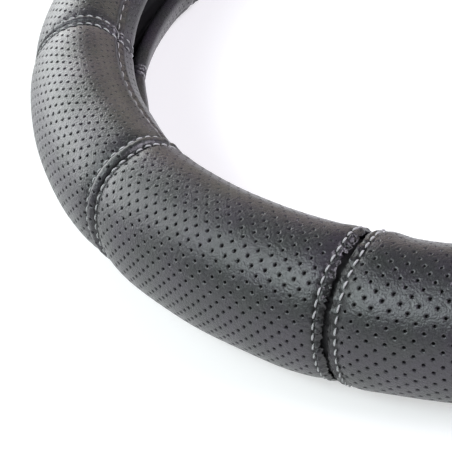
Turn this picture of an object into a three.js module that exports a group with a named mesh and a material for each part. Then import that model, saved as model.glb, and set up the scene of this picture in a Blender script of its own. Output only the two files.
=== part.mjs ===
// A slip-on steering wheel cover: twelve perforated leather panels sewn end to end into a ring,
// turned in over the two lips of a moulded rubber liner that grips the wheel's rim.
// Millimetres, +Z up along the ring's axis, origin on the floor at the ring's centre.
import * as THREE from "three";

// The ring and the tube's section
const OUTER_DIAMETER = 380;
const PANEL_COUNT = 12;
const TUBE_REACH_OUT = 21.3;
const TUBE_REACH_IN = 17.2;
const TUBE_HALF_HEIGHT = 22.9;
const REST_FLATTENING = 0.4;
const MOUTH_HEIGHT = 12.6;

// The layers of the wall, and the gap left between any two pieces
const THREAD = 0.8;
const LEATHER_UNDER_STITCH = 0.4;
const LINER = 2;
const CLEARANCE = 0.3;

// The turned-in hem and the seams between panels
const HEM_STITCH_FROM_LIP = 10;
const HEM_TURN_IN = 13;
const SEAM_GROOVE_DEPTH = 0.5;
const STITCH_ROW_FROM_SEAM = 3;
const STITCH_DIMPLE_WIDTH = 2;

// How finely curves are divided
const LOWER_HEM_SEGMENTS = 2;
const OUTER_WALL_SEGMENTS = 7;
const UPPER_HEM_SEGMENTS = 2;
const FOLD_SEGMENTS = 3;
const FREE_SPANS = 3;

const RING_RADIUS = OUTER_DIAMETER / 2 - TUBE_REACH_OUT;
const PANEL_ANGLE = (2 * Math.PI) / PANEL_COUNT;
// The stitches pull the leather in until their thread lies flush with the wall
const STITCH_ROW_DEPTH = THREAD + CLEARANCE;
const LEATHER = STITCH_ROW_DEPTH + LEATHER_UNDER_STITCH;
const LINER_OUTSIDE = LEATHER + CLEARANCE;
const LINER_INSIDE = LINER_OUTSIDE + LINER;
const LIP_THICKNESS = LINER_INSIDE + CLEARANCE + LEATHER;
const FOLD_RADIUS = LIP_THICKNESS / 2;

// A place on the wall is an angle round the tube, 0 outwards and a quarter turn upwards,
// and a height above the outer surface, which is negative inside the wall.
function sectionPoint(angle, height) {
  const reach = Math.cos(angle) > 0 ? TUBE_REACH_OUT : TUBE_REACH_IN;
  const lowest = -(TUBE_HALF_HEIGHT + height - REST_FLATTENING);
  return {
    radius: RING_RADIUS + (reach + height) * Math.cos(angle),
    z: Math.max((TUBE_HALF_HEIGHT + height) * Math.sin(angle), lowest) + TUBE_HALF_HEIGHT - REST_FLATTENING,
  };
}

// How far along the wall one radian goes, on the inner side of the tube
function wallPerRadian(angle, height) {
  return Math.hypot(
    (TUBE_REACH_IN + height) * Math.sin(angle),
    (TUBE_HALF_HEIGHT + height) * Math.cos(angle),
  );
}

const FOLD_ANGLE = Math.PI - Math.asin((MOUTH_HEIGHT / 2 + FOLD_RADIUS) / (TUBE_HALF_HEIGHT - FOLD_RADIUS));
const FOLD_PER_RADIAN = wallPerRadian(FOLD_ANGLE, -FOLD_RADIUS);
const LIP_ANGLE = FOLD_ANGLE + FOLD_RADIUS / FOLD_PER_RADIAN;
const HEM_ANGLE = LIP_ANGLE - HEM_STITCH_FROM_LIP / wallPerRadian(LIP_ANGLE, 0);
const TURN_IN_ANGLE = LIP_ANGLE - HEM_TURN_IN / wallPerRadian(LIP_ANGLE, -LIP_THICKNESS);
const LINER_END_ANGLE = FOLD_ANGLE - CLEARANCE / FOLD_PER_RADIAN;
const FOOT_ANGLE = Math.asin((TUBE_HALF_HEIGHT - REST_FLATTENING) / TUBE_HALF_HEIGHT);

function evenly(from, to, segments) {
  return Array.from({ length: segments + 1 }, (_, i) => from + ((to - from) * i) / segments);
}

// The angles that every layer shares, from the lower fold to the upper one,
// so that the flat facets of neighbouring layers stay parallel.
const WALL_ANGLES = [
  -FOLD_ANGLE,
  ...evenly(-HEM_ANGLE, FOOT_ANGLE - Math.PI, LOWER_HEM_SEGMENTS),
  ...evenly(-FOOT_ANGLE, Math.PI / 2, OUTER_WALL_SEGMENTS),
  ...evenly(Math.PI / 2, HEM_ANGLE, UPPER_HEM_SEGMENTS).slice(1),
  FOLD_ANGLE,
];

// The shared angles strictly between two ends, with the ends themselves
function anglesBetween(low, high) {
  return [low, ...WALL_ANGLES.filter((angle) => angle > low + 1e-6 && angle < high - 1e-6), high];
}

// The cut lines across one panel, as angles round the ring from its first seam:
// seam edge, stitch row and shoulder, free spans between the shoulders, and the same mirrored.
const SHOULDER_FROM_SEAM = STITCH_ROW_FROM_SEAM + STITCH_DIMPLE_WIDTH;
function cutLines(radius) {
  const edges = [CLEARANCE / 2, STITCH_ROW_FROM_SEAM, SHOULDER_FROM_SEAM].map((distance) => distance / radius);
  const shoulder = edges[edges.length - 1];
  const free = evenly(shoulder, PANEL_ANGLE - shoulder, FREE_SPANS).slice(1, -1);
  return [...edges, ...free, ...edges.map((angle) => PANEL_ANGLE - angle).reverse()];
}
const CUT_LINE_COUNT = cutLines(RING_RADIUS).length;
const SEAM_DEPTHS = [SEAM_GROOVE_DEPTH, STITCH_ROW_DEPTH];

// How deep the outer surface is pulled in at a cut line by the seam's stitches
function pulledIn(line) {
  return SEAM_DEPTHS[Math.min(line, CUT_LINE_COUNT - 1 - line)] ?? 0;
}

function placed(radius, around, z) {
  return new THREE.Vector3(radius * Math.cos(around), radius * Math.sin(around), z);
}

// Moves every vertex of a straight solid to where bend(x, y, z) says
function bent(geometry, bend) {
  const position = geometry.getAttribute("position");
  for (let i = 0; i < position.count; i += 1) {
    const point = bend(position.getX(i), position.getY(i), position.getZ(i));
    position.setXYZ(i, point.x, point.y, point.z);
  }
  geometry.deleteAttribute("uv");
  geometry.computeVertexNormals();
  return geometry;
}

function polygon(points) {
  return new THREE.Shape(points.map(([x, y]) => new THREE.Vector2(x, y)));
}

// The leather's section as places on the wall. It runs up the outside, round the upper fold,
// back inside over the liner's edge, down the inner face, and round the lower fold.
function leatherSection() {
  const upperFold = evenly(0, Math.PI, FOLD_SEGMENTS)
    .slice(1, -1)
    .map((turn) => [
      FOLD_ANGLE + (FOLD_RADIUS * Math.sin(turn)) / FOLD_PER_RADIAN,
      -FOLD_RADIUS * (1 - Math.cos(turn)),
    ]);
  const turnIn = anglesBetween(TURN_IN_ANGLE, FOLD_ANGLE);
  const upperHem = [
    ...upperFold,
    ...turnIn.map((angle) => [angle, -LIP_THICKNESS]).reverse(),
    ...turnIn.map((angle) => [angle, LEATHER - LIP_THICKNESS]),
  ];
  const lowerHem = upperHem.map(([angle, height]) => [-angle, height]).reverse();
  return [
    ...WALL_ANGLES.map((angle) => [angle, 0]),
    ...upperHem,
    ...WALL_ANGLES.map((angle) => [angle, -LEATHER]).reverse(),
    ...lowerHem,
  ];
}

// One leather panel, from its first seam at the X axis round to its second.
// Its section is extruded straight, which bending turns towards the first seam.
// Every point goes round to its cut line, and those on the outside go in by its depth.
function panelGeometry() {
  const section = leatherSection();
  const corners = section.map(([angle, height]) => sectionPoint(angle, height));
  const spans = CUT_LINE_COUNT - 1;
  const shape = polygon(corners.map(({ radius, z }) => [radius, z]));
  const straight = new THREE.ExtrudeGeometry(shape, { depth: 1, steps: spans, bevelEnabled: false });
  return bent(straight, (x, y, along) => {
    const away = corners.map(({ radius, z }) => Math.hypot(radius - x, z - y));
    const [angle, height] = section[away.indexOf(Math.min(...away))];
    const line = Math.round((1 - along) * spans);
    const { radius, z } = sectionPoint(angle, height === 0 ? -pulledIn(line) : height);
    return placed(radius, cutLines(radius)[line], z);
  });
}

function diamond(size) {
  const half = size / 2;
  return polygon([[half, 0], [0, half], [-half, 0], [0, -half]]);
}

// One row of top stitching beside a seam, from the lower lip up round the wall to the upper lip.
// side is +1 for the row past the seam and -1 for the row before it.
function seamThreadGeometry(side) {
  const spans = WALL_ANGLES.length - 1;
  const straight = new THREE.ExtrudeGeometry(diamond(THREAD), { depth: 1, steps: spans, bevelEnabled: false });
  return bent(straight, (across, up, along) => {
    const { radius, z } = sectionPoint(WALL_ANGLES[Math.round(along * spans)], up - THREAD / 2);
    return placed(radius, (side * STITCH_ROW_FROM_SEAM - across) / radius, z);
  });
}

// A ring turned from a closed section, with its facets at the panels' own cut lines
function ringGeometry(section) {
  const profile = section.map(([angle, height]) => {
    const { radius, z } = sectionPoint(angle, height);
    return new THREE.Vector2(radius, z);
  });
  const linesPerPanel = FREE_SPANS + 1;
  const turned = new THREE.LatheGeometry([...profile, profile[0]], PANEL_COUNT * linesPerPanel);
  turned.rotateX(Math.PI / 2);
  const step = PANEL_ANGLE / linesPerPanel;
  const firstLine = SEAM_DEPTHS.length;
  return bent(turned, (x, y, z) => {
    const radius = Math.hypot(x, y);
    const count = Math.round(Math.atan2(y, x) / step);
    const panel = Math.floor(count / linesPerPanel);
    const line = firstLine + count - panel * linesPerPanel;
    return placed(radius, panel * PANEL_ANGLE + cutLines(radius)[line], z);
  });
}

// The rubber liner: a channel as thick as LINER, whose edges sit inside the turned-in hems
function linerGeometry() {
  const angles = anglesBetween(-LINER_END_ANGLE, LINER_END_ANGLE);
  return ringGeometry([
    ...angles.map((angle) => [angle, -LINER_OUTSIDE]),
    ...angles.map((angle) => [angle, -LINER_INSIDE]).reverse(),
  ]);
}

// The thread that holds one hem down, all the way round, over the seams' own stitches.
// side is +1 for the upper hem and -1 for the lower one.
function hemThreadGeometry(side) {
  const half = THREAD / 2;
  const across = half / wallPerRadian(HEM_ANGLE, 0);
  const middle = CLEARANCE + half;
  return ringGeometry([
    [side * HEM_ANGLE - across, middle],
    [side * HEM_ANGLE, middle - half],
    [side * HEM_ANGLE + across, middle],
    [side * HEM_ANGLE, middle + half],
  ].reverse());
}

const leather = new THREE.MeshStandardMaterial({ name: "black_leather", color: 0x2b2c2f, roughness: 0.5 });
const rubber = new THREE.MeshStandardMaterial({ name: "black_rubber", color: 0x161617, roughness: 0.85 });
const thread = new THREE.MeshStandardMaterial({ name: "grey_thread", color: 0xb9b9b7, roughness: 0.7 });

const cover = new THREE.Group();

function add(name, geometry, material, turn = 0) {
  const mesh = new THREE.Mesh(geometry, material);
  mesh.name = name;
  mesh.rotation.z = turn;
  cover.add(mesh);
}

add("inner_liner_ring", linerGeometry(), rubber);
add("hem_thread_upper", hemThreadGeometry(1), thread);
add("hem_thread_lower", hemThreadGeometry(-1), thread);

const panel = panelGeometry();
const threadBefore = seamThreadGeometry(-1);
const threadAfter = seamThreadGeometry(1);
for (let i = 0; i < PANEL_COUNT; i += 1) {
  const number = String(i + 1).padStart(2, "0");
  const turn = i * PANEL_ANGLE;
  add(`leather_panel_${number}`, panel, leather, turn);
  add(`seam_thread_${number}_before`, threadBefore, thread, turn);
  add(`seam_thread_${number}_after`, threadAfter, thread, turn);
}

export default cover;
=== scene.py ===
"""The looks of a slip-on steering wheel cover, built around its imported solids.

Twelve perforated leather panels are warped from one flat cutting pattern onto the tube, each with
its own seams, and the stitches, the hems and the ribbed rubber liner are modelled to match.
Sizes are millimetres in the dataclasses and metres in every mesh.
"""

import logging
import math
from dataclasses import dataclass, field
from enum import Enum
from typing import Optional

import bpy
import numpy as np
from mathutils import Matrix, Vector
from mathutils.geometry import delaunay_2d_cdt


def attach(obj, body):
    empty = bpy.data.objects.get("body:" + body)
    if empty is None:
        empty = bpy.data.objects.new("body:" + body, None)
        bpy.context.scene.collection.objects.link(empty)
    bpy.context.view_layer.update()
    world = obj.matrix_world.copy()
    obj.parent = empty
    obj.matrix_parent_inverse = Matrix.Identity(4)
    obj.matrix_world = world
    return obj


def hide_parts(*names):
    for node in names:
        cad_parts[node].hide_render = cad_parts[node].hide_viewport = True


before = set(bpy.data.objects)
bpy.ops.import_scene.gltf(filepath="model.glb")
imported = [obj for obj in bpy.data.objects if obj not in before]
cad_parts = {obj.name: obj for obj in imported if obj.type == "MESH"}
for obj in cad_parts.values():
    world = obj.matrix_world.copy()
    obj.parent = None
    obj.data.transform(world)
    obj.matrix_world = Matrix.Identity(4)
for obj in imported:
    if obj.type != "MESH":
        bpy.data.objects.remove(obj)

logging.basicConfig(level=logging.INFO, format="%(message)s")
LOG = logging.getLogger("steering_wheel_cover")

MM = 0.001
TURN = 2 * math.pi
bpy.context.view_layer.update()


class Slot(Enum):
    """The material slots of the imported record."""

    LEATHER = "perforated_leather"
    RUBBER = "liner_rubber"
    THREAD = "stitch_thread"


class Side(Enum):
    """Which of a seam's two stitch rows, or which of the two hems."""

    BEFORE = -1
    AFTER = 1
    LOWER = -2
    UPPER = 2

    @property
    def sign(self) -> int:
        """1 past a seam or above, and -1 before it or below."""
        return 1 if self.value > 0 else -1


class Seed(Enum):
    """Where the random draws of each uneven thing start."""

    RELIEF_AFTER = 10
    RELIEF_BEFORE = 40
    UNEVEN = 70
    SEAM_ROW = 200
    HEM = 300
    TORN_AFTER = 500
    TORN_BEFORE = 520


@dataclass(frozen=True)
class TubeSection:
    """The tube's section, as the solids have it, with places on it as arc lengths.

    Arc 0 is the outermost line of the tube, and arcs grow upwards over the top to the upper lip.
    """

    outer_diameter: float = 380.0
    panel_count: int = 12
    reach_out: float = 21.3
    reach_in: float = 17.2
    half_height: float = 22.9
    rest_flattening: float = 0.4
    mouth_height: float = 12.6
    leather: float = 1.5
    liner: float = 2.0
    clearance: float = 0.3
    hem_from_lip: float = 8.7
    turn_in: float = 9.5
    fold_squareness: float = 0.68
    slack_lip_turn: float = math.radians(187.0)
    slack_lip_spread: float = math.radians(9.0)
    slack_lip_reach: float = 0.8
    slack_from: float = 36.0
    samples: int = 4001

    @property
    def ring_radius(self) -> float:
        """Radius of the tube's centre line."""
        return self.outer_diameter / 2 - self.reach_out

    @property
    def panel_angle(self) -> float:
        """Angle that one panel takes round the ring."""
        return TURN / self.panel_count

    @property
    def lip_thickness(self) -> float:
        """Thickness of the wall at a lip: leather, liner, and the leather turned in over it."""
        return 2 * self.leather + self.liner + 2 * self.clearance

    @property
    def fold_radius(self) -> float:
        """Outer radius of the fold at a lip."""
        return self.lip_thickness / 2

    @property
    def fold_angle(self) -> float:
        """Angle round the tube at which the leather starts to fold in."""
        rise = self.mouth_height / 2 + self.fold_radius
        return math.pi - math.asin(rise / (self.half_height - self.fold_radius))

    def wall(self, angle: np.ndarray, height: np.ndarray) -> tuple[np.ndarray, np.ndarray]:
        """Places on the wall.

        Args:
            angle: Angles round the tube, 0 outwards and a quarter turn upwards.
            height: Heights above the outer surface, negative inside the wall.

        Returns:
            The radii from the ring's axis and the heights above the floor.
        """
        reach = np.where(np.cos(angle) > 0, self.reach_out, self.reach_in)
        radius = self.ring_radius + (reach + height) * np.cos(angle)
        lowest = -(self.half_height + np.minimum(height, 0) - self.rest_flattening)
        z = np.maximum((self.half_height + height) * np.sin(angle), lowest)
        return radius, z + self.half_height - self.rest_flattening

    def arc_table(self) -> tuple[np.ndarray, np.ndarray]:
        """Measures the outer surface.

        Returns:
            Matching angles round the tube and arc lengths along its outer surface.
        """
        angles = np.linspace(-math.pi, math.pi, self.samples)
        reach = np.where(np.cos(angles) > 0, self.reach_out, self.reach_in)
        step = np.hypot(np.diff(reach * np.cos(angles)), np.diff(self.half_height * np.sin(angles)))
        arcs = np.concatenate([[0.0], np.cumsum(step)])
        return angles, arcs - np.interp(0.0, angles, arcs)

    @property
    def fold_arc(self) -> float:
        """Arc length from the outermost line to where a fold starts."""
        angles, arcs = self.arc_table()
        return float(np.interp(self.fold_angle, angles, arcs))

    @property
    def fold_end(self) -> float:
        """Arc length to where the leather has folded right back."""
        return self.fold_arc + math.pi * self.fold_radius

    @property
    def hem_arc(self) -> float:
        """Arc length to the stitches that hold the hem, measured from the lip as seen from above."""
        return self.fold_arc + self.fold_radius * math.pi / 4 - self.hem_from_lip

    @property
    def edge_arc(self) -> float:
        """Arc length to the leather's cut edge, past the fold and inside the channel."""
        return self.fold_end + self.turn_in

    def lip_reach(self, arc: np.ndarray, turn: np.ndarray | float) -> np.ndarray:
        """How much further in than usual the lip stands, where the lower one hangs slack.

        Args:
            arc: Arc lengths along the outer skin, negative below.
            turn: Angles round the ring.

        Returns:
            Lengths in millimetres.
        """
        near = (turn - self.slack_lip_turn) / self.slack_lip_spread
        return np.where(arc < 0, self.slack_lip_reach, 0.0) * np.exp(-(near ** 2))

    def place(
        self, arc: np.ndarray, height: np.ndarray, turn: np.ndarray | float = 0.0
    ) -> tuple[np.ndarray, np.ndarray]:
        """Places on the leather, round the folds too.

        Args:
            arc: Arc lengths along the outer skin, negative below.
            height: Heights above the outer skin, negative in the leather.
            turn: Angles round the ring.

        Returns:
            The radii from the ring's axis and the heights above the floor.
        """
        angles, arcs = self.arc_table()
        sign = np.where(arc < 0, -1.0, 1.0)
        reach = self.lip_reach(arc, turn)
        ramp = np.clip((np.abs(arc) - self.slack_from) / (self.fold_arc - self.slack_from), 0.0, 1.0)
        along = np.abs(arc) + reach * ramp * ramp * (3 - 2 * ramp)
        fold_arc = self.fold_arc + reach
        on_wall = self.wall(np.interp(sign * along, arcs, angles), height)
        start = sign * np.interp(fold_arc, arcs, angles)
        skin = self.wall(start, np.zeros_like(height))
        centre = self.wall(start, np.full_like(height, -self.fold_radius))
        out = np.stack([skin[0] - centre[0], skin[1] - centre[1]]) / self.fold_radius
        onward = np.stack([-sign * out[1], sign * out[0]])
        bend = np.clip((along - fold_arc) / self.fold_radius, 0.0, math.pi)
        power = 1 - (1 - self.fold_squareness) * np.sin(bend)
        outward = np.sign(np.cos(bend)) * np.abs(np.cos(bend)) ** power
        forward = np.sin(bend) ** power
        across = self.fold_radius + height
        folded = [centre[i] + across * (outward * out[i] + forward * onward[i]) for i in (0, 1)]
        past = np.maximum(along - fold_arc - math.pi * self.fold_radius, 0.0)
        inward_angle = start - sign * past / (self.reach_in + self.fold_radius)
        tucked = self.wall(inward_angle, -(self.lip_thickness + height))
        zones = [along <= fold_arc, past <= 0]
        radius, z = (np.select(zones, [on_wall[i], folded[i]], tucked[i]) for i in (0, 1))
        return radius, z


@dataclass(frozen=True)
class SeamLie:
    """How one hand-laid seam lies: it wanders from its plane, and pulls the leather in about it.

    wander holds the groove's distance from the seam's plane at each of SEAM_STATIONS, and the
    draws how deep the leather beside it is drawn in at each of DRAW_STATIONS. The rows and the
    crease are places beside the groove, and the crowns are how far the strips over the seam's
    folded edges swell.
    """

    wander: tuple[float, ...]
    row_before: float = 3.4
    row_after: float = 2.6
    gap: float = 0.25
    crown_before: float = 0.3
    crown_after: float = 0.15
    crease: float = 0.0
    draw_before: tuple[float, ...] = (0.8, 0.4, 0.2)
    draw_after: tuple[float, ...] = (0.8, 0.4, 0.2)


@dataclass(frozen=True)
class Puff:
    """A slack place in a panel, which stands out by its height, or lies in by a negative one."""

    from_seam: float
    arc: float
    height: float
    width: float
    length: float

    def rise(self, x: np.ndarray, arc: np.ndarray) -> np.ndarray:
        """Heights that the puff gives a panel.

        Args:
            x: Places across the flat pattern in millimetres.
            arc: Arc lengths round the tube.

        Returns:
            Heights in millimetres.
        """
        across = (x - self.from_seam) / self.width
        along = (arc - self.arc) / self.length
        return self.height * np.exp(-(across ** 2) - along ** 2)


@dataclass(frozen=True)
class PanelLie:
    """How one panel lies: how far it swells, and how its perforation sits between its seams.

    swell is at each of DRAW_STATIONS, slip is how far its leather has slid round the tube, and
    shift how far its holes are moved along the ring. open_strip says that the holes under its
    last seam's fold stay open.
    """

    swell: tuple[float, ...] = (0.3, 0.4, 0.4)
    slip: float = 0.0
    shift: float = 0.0
    open_strip: bool = False
    puffs: tuple[Puff, ...] = ()


# Arc lengths round the tube at which the lies of seams and panels are given
SEAM_STATIONS = (-60.0, -50.0, -25.0, 0.0, 12.0, 22.0, 33.0, 41.0, 50.0, 60.0)
DRAW_STATIONS = (-18.0, 15.0, 45.0)

# How far a seam's wander is smoothed, and how far from it and from the hems its pull reaches
WANDER_EASE = 2.5
DRAW_REACH = 9.0
DRAW_FADE = 7.0

# The seams and panels out of the photograph's view repeat these
PLAIN_SEAMS = (
    SeamLie((0.4, 0.3, 0.1, -0.2, -0.4, -0.3, 0.0, 0.2, 0.5, 0.4)),
    SeamLie((-3.2, -2.4, -0.9, 0.3, 0.5, 0.4, 0.2, 0.0, -0.5, -0.3), 3.2, 3.0, 0.4, crease=1.3),
    SeamLie((2.6, 1.9, 0.9, 0.5, 0.2, 0.0, -0.3, -0.2, 0.6, 0.2), 3.6, 2.3),
)
PLAIN_PANELS = (PanelLie(slip=0.8, shift=0.4), PanelLie(slip=-0.7), PanelLie(slip=0.2, shift=0.8))

# The seams and panels in view lie as the photograph shows them
FRONT_SEAMS = {
    6: SeamLie((-10.6, -8.0, -4.2, -1.6, -0.4, 0.2, 0.6, 1.0, 3.8, 3.4), 3.0, 2.0, 0.2),
    7: SeamLie(
        (-0.5, 0.3, 0.8, 2.6, 1.6, 1.0, 1.4, 0.0, -1.6, -1.2), 4.1, 1.35, 0.15, 0.55, 0.0,
        draw_before=(1.5, 0.5, 0.1), draw_after=(1.5, 0.3, 0.0),
    ),
    8: SeamLie(
        (-5.6, -5.2, -4.4, -2.9, -2.4, -1.7, -0.4, -0.7, -0.6, -0.6), 2.4, 2.7, 1.5, 0.35, 0.15,
        crease=1.35, draw_before=(0.3, 0.1, -0.4), draw_after=(0.2, 0.0, -0.5),
    ),
}
FRONT_PANELS = {
    4: PanelLie(slip=-0.7, puffs=(Puff(86.4, -52.0, 1.8, 11.0, 14.0),)),
    5: PanelLie(slip=0.2, shift=0.8, puffs=(
        Puff(-2.0, -52.0, 1.8, 11.0, 14.0),
        Puff(111.4, -52.0, 1.8, 15.0, 14.0),
    )),
    6: PanelLie((0.2, 0.3, 0.4), 0.6, 0.0, open_strip=True, puffs=(
        Puff(74.0, -20.0, -0.5, 18.0, 12.0),
        Puff(23.0, -52.0, 1.8, 15.0, 14.0),
        Puff(56.0, 57.0, 0.6, 14.0, 6.0),
    )),
    7: PanelLie((-0.45, 0.3, 0.6), 0.4, puffs=(
        Puff(12.0, -20.0, -0.4, 16.0, 12.0),
        Puff(74.0, -20.0, 0.4, 10.0, 10.0),
        Puff(85.0, 46.0, 0.75, 3.4, 5.0),
    )),
    8: PanelLie((-1.2, 0.1, -0.4), -0.25, 1.25, puffs=(
        Puff(4.0, -20.0, 0.5, 7.0, 10.0),
        Puff(3.5, 46.0, 1.2, 4.6, 5.0),
    )),
}

SEAM_STITCH = 3.3
HEM_STITCHES = 150

# Beside a hem's stitches the leather stands up: distance from them, height and width of each ridge
HEM_RIDGES = ((-2.0, 0.3, 1.1), (2.0, 0.25, 1.2))

# Millimetres in one unit of the leather's and of the thread's texture coordinates
LEATHER_UV_MM = 100.0
THREAD_UV_MM = 10.0


def seam_lie(index: int) -> SeamLie:
    """Returns how the seam of that number lies, counted from the X axis."""
    return FRONT_SEAMS.get(index, PLAIN_SEAMS[index % len(PLAIN_SEAMS)])


def panel_lie(index: int) -> PanelLie:
    """Returns how the panel past the seam of that number lies."""
    return FRONT_PANELS.get(index, PLAIN_PANELS[index % len(PLAIN_PANELS)])


def groove(index: int, arc: np.ndarray) -> np.ndarray:
    """Distance of a seam's groove from the seam's plane.

    Args:
        index: The seam's number.
        arc: Arc lengths round the tube.

    Returns:
        Distances in millimetres, positive towards the next seam.
    """
    wander = seam_lie(index).wander
    steps = (-WANDER_EASE, 0.0, WANDER_EASE)
    return sum(np.interp(arc + step, SEAM_STATIONS, wander) for step in steps) / len(steps)


def drawn_in(draw: tuple[float, ...], off: np.ndarray, arc: np.ndarray, hem_arc: float) -> np.ndarray:
    """How deep a seam pulls in the leather beside it.

    Args:
        draw: Depths at each of DRAW_STATIONS.
        off: Distances from the seam's groove.
        arc: Arc lengths round the tube.
        hem_arc: Arc length to the hem's stitches, where the pull has died away.

    Returns:
        Depths in millimetres.
    """
    hold = np.clip((hem_arc - np.abs(arc)) / DRAW_FADE, 0.0, 1.0)
    return np.interp(arc, DRAW_STATIONS, draw) * np.exp(-((off / DRAW_REACH) ** 2)) * hold


def stitch_pull(needle: np.ndarray) -> np.ndarray:
    """Returns how hard a thread pulls, from 0 between two needle holes to 1 at a hole."""
    return 0.55 + 0.45 * needle


def on_ring(radius: np.ndarray, turn: np.ndarray, z: np.ndarray) -> np.ndarray:
    """Returns points at those radii, angles round the ring and heights."""
    return np.stack([radius * np.cos(turn), radius * np.sin(turn), z], -1)


def wave(seed: int, x: np.ndarray, y: np.ndarray, length: float, count: int = 6) -> np.ndarray:
    """A smooth uneven surface, as a sum of a few long waves.

    Args:
        seed: Chooses the waves.
        x: First coordinates in millimetres.
        y: Second coordinates in millimetres.
        length: Typical wave length in millimetres.
        count: How many waves are summed.

    Returns:
        Values that stay near -1 to 1.
    """
    draw = np.random.default_rng(seed)
    total = np.zeros_like(x)
    for _ in range(count):
        heading, phase = draw.uniform(0, TURN, 2)
        number = TURN / (length * draw.uniform(0.7, 1.5))
        total += np.sin(number * (x * math.cos(heading) + y * math.sin(heading)) + phase)
    return total / math.sqrt(count)


def triangulated(points: np.ndarray) -> np.ndarray:
    """Delaunay triangles of flat points that fill a rectangle.

    Args:
        points: Flat points.

    Returns:
        Triangles as point numbers, counterclockwise.
    """
    together, flat = 1e-7, 1e-9
    result = delaunay_2d_cdt([Vector(p) for p in points], [], [], 0, together)
    back = [source[0] for source in result[3]]
    if len(back) != len(points):
        raise ValueError("flat points fell together")
    triangles = np.array([[back[i] for i in face] for face in result[2]])
    a, b, c = (points[triangles[:, i]] for i in range(3))
    area = (b[:, 0] - a[:, 0]) * (c[:, 1] - a[:, 1]) - (b[:, 1] - a[:, 1]) * (c[:, 0] - a[:, 0])
    triangles[area < 0] = triangles[area < 0][:, ::-1]
    return triangles[np.abs(area) > flat]


def object_from(name: str, points: np.ndarray, faces: list, uv: np.ndarray) -> bpy.types.Object:
    """A mesh object at the origin, shaded smooth.

    Args:
        name: The piece's name.
        points: Vertices in millimetres.
        faces: Vertex numbers of each face.
        uv: A texture coordinate for each vertex.

    Returns:
        The new object, linked to the scene.
    """
    mesh = bpy.data.meshes.new(name)
    mesh.from_pydata((points * MM).tolist(), [], faces)
    mesh.validate()
    mesh.polygons.foreach_set("use_smooth", [True] * len(mesh.polygons))
    corner = np.zeros(len(mesh.loops), dtype=np.int64)
    mesh.loops.foreach_get("vertex_index", corner)
    layer = mesh.uv_layers.new(name="UVMap")
    layer.data.foreach_set("uv", uv[corner].ravel())
    made = bpy.data.objects.new(name, mesh)
    bpy.context.scene.collection.objects.link(made)
    return made


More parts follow.
